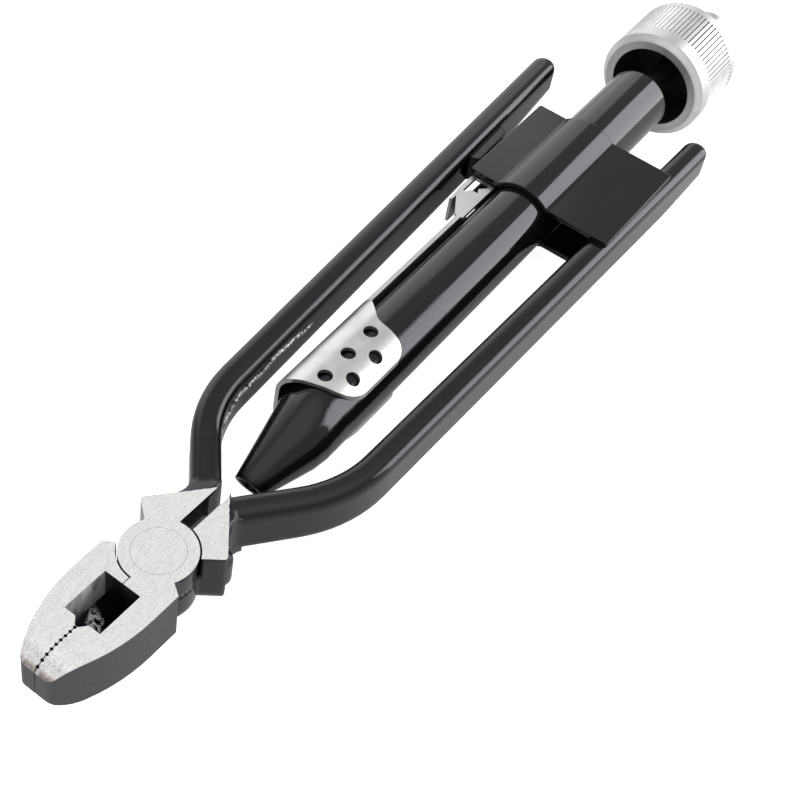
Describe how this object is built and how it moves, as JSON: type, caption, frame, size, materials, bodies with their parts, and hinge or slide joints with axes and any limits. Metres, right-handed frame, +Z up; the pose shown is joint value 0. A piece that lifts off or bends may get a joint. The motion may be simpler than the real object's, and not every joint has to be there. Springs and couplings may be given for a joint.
{
  "type": "safety wire pliers",
  "caption": "Locking pliers that twist wire: lap-jointed jaws with teeth and cutters, bent handles, a tapered barrel with a pull-out spiral rod and knurled knob, and a sliding thumb latch.",
  "frame": {"origin": "on the jaw pivot's axis, at the lower face of the head", "axes": "+X from the pivot back along the barrel's axis to the knob, +Y to the swinging handle, +Z up out of the head's upper face"},
  "size_m": [0.229, 0.0445, 0.0247],
  "materials": {
    "lever_paint": "gloss black paint on the handles, bright ground steel on both faces of the head",
    "ground_steel": "ground flush with the head",
    "black_paint": "gloss black paint",
    "black_oxide": "black oxide",
    "bright_plate": "bright plated sheet",
    "spring_steel": "drawn wire and stamped spring steel",
    "brass": "turned",
    "knob_alloy": "bright turned, straight knurl"
  },
  "bodies": {
    "fixed_half": {"fixed_lever": "lever_paint", "pivot_rivet": "ground_steel", "barrel": "black_paint", "nose_bush": "black_oxide", "bracket_top": "black_paint", "bracket_bottom": "black_paint", "latch_spring": "spring_steel", "twist_nut": "brass", "nut_retaining_ring": "spring_steel", "spring_seat_washer": "spring_steel", "return_spring": "spring_steel"},
    "swing_half": {"swing_lever": "lever_paint", "catch_finger": "black_paint"},
    "latch": {"latch_slide": "bright_plate"},
    "follower": {"spring_follower": "brass"},
    "spindle": {"spiral_rod": "black_oxide", "follower_clip": "spring_steel", "knob": "knob_alloy", "rod_end_cap": "knob_alloy"}
  },
  "joints": [
    {"name": "jaw_pivot", "type": "hinge", "parent": "fixed_half", "child": "swing_half", "pos_m": [0, 0, 0.00525], "axis": [0, 0, 1], "range_deg": [0, 25]},
    {"name": "latch_slide", "type": "slide", "parent": "fixed_half", "child": "latch", "axis": [1, 0, 0], "range_m": [0, 0.003], "stiffness_N_per_m": 300, "springref_m": -0.001, "deforming": ["latch_spring"]},
    {"name": "knob_pull", "type": "slide", "parent": "fixed_half", "child": "follower", "axis": [1, 0, 0], "range_m": [0, 0.07], "stiffness_N_per_m": 80, "springref_m": -0.03, "deforming": ["return_spring"]},
    {"name": "knob_twist", "type": "hinge", "parent": "follower", "child": "spindle", "pos_m": [0, 0, 0.00525], "axis": [1, 0, 0], "range_deg": [0, 902]}
  ],
  "couplings": [
    {"joint": "knob_twist", "follows": "knob_pull", "rad_per_m": 224.4}
  ]
}
